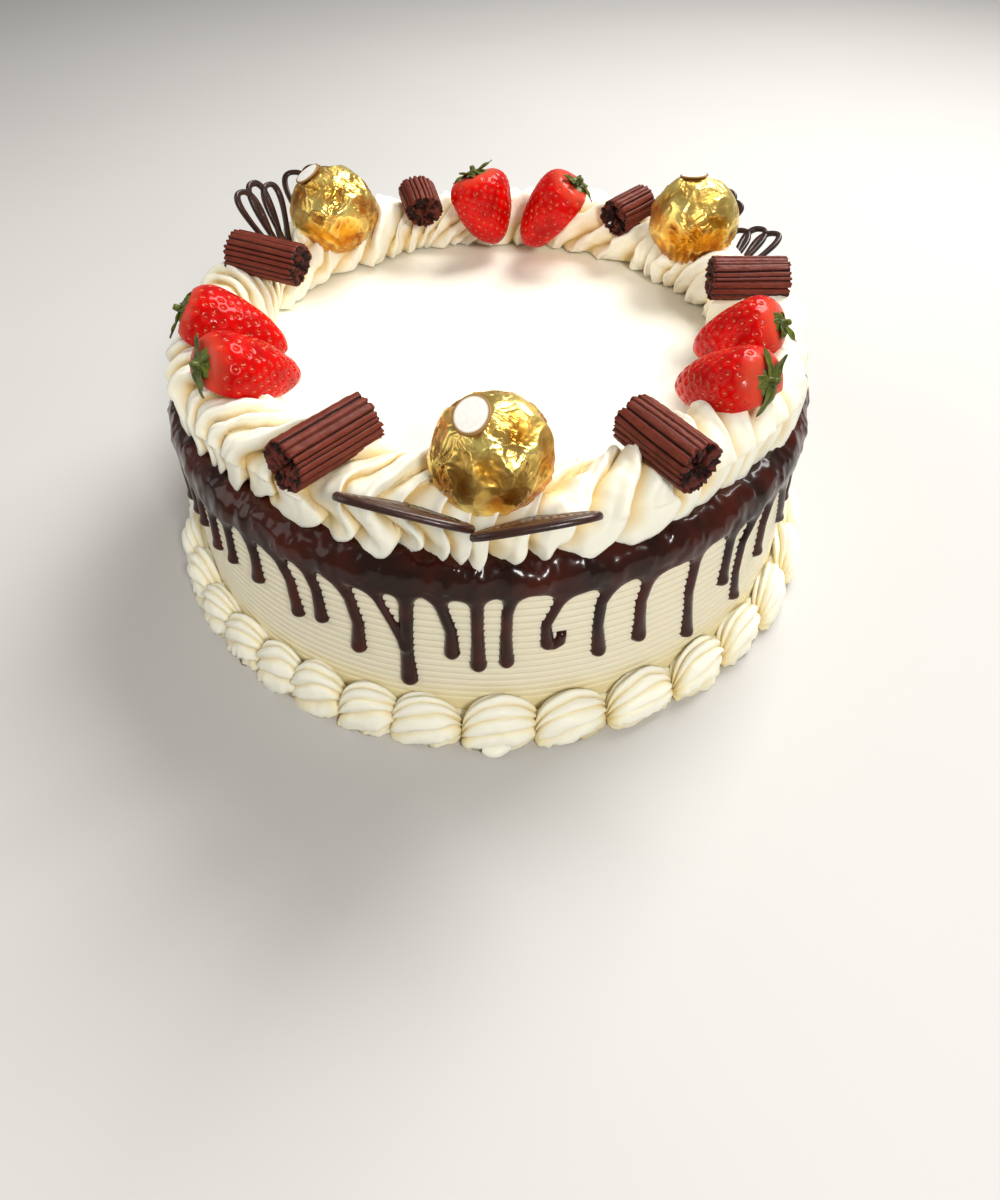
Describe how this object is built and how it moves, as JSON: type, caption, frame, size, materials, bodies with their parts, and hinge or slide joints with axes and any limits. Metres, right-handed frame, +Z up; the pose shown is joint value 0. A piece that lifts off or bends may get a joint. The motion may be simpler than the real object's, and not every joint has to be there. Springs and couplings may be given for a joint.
{
  "type": "black forest cake",
  "caption": "Round cream cake with a combed side, chocolate drip, piped cream borders, strawberries, ridged chocolate logs, gold foil balls and chocolate fans.",
  "frame": {"origin": "on the cake's axis, at its flat underside", "axes": "+Z up along the cake's axis, -Y towards the front foil ball, +X to the right as seen from the front"},
  "size_m": [0.2327, 0.2415, 0.1089],
  "materials": {
    "side_cream": "soft satin whipped cream, combed",
    "top_cream": "soft satin whipped cream",
    "base_cream": "soft satin whipped cream",
    "drip_chocolate": "glossy dark chocolate",
    "log_chocolate": "dull milk chocolate",
    "fan_chocolate": "satin dark chocolate",
    "strawberry_red": "wet glossy fruit",
    "leaf_green": "dull leaf",
    "gold_foil": "crumpled gold foil",
    "sticker_paper": "blank paper"
  },
  "bodies": {
    "root": {"cake": "side_cream", "chocolate_drip": "drip_chocolate", "top_border": "top_cream", "base_border": "base_cream", "foil_ball_1": "gold_foil", "foil_ball_2": "gold_foil", "foil_ball_3": "gold_foil", "sticker_1": "sticker_paper", "sticker_2": "sticker_paper", "sticker_3": "sticker_paper", "chocolate_log_1": "log_chocolate", "chocolate_log_2": "log_chocolate", "chocolate_log_3": "log_chocolate", "chocolate_log_4": "log_chocolate", "chocolate_log_5": "log_chocolate", "chocolate_log_6": "log_chocolate", "strawberry_1": "strawberry_red", "strawberry_2": "strawberry_red", "strawberry_3": "strawberry_red", "strawberry_4": "strawberry_red", "strawberry_5": "strawberry_red", "strawberry_6": "strawberry_red", "calyx_1": "leaf_green", "calyx_2": "leaf_green", "calyx_3": "leaf_green", "calyx_4": "leaf_green", "calyx_5": "leaf_green", "calyx_6": "leaf_green", "chocolate_fan_1": "fan_chocolate", "chocolate_fan_2": "fan_chocolate", "chocolate_fan_3": "fan_chocolate", "chocolate_fan_4": "fan_chocolate", "chocolate_fan_5": "fan_chocolate", "chocolate_fan_6": "fan_chocolate"}
  },
  "joints": []
}
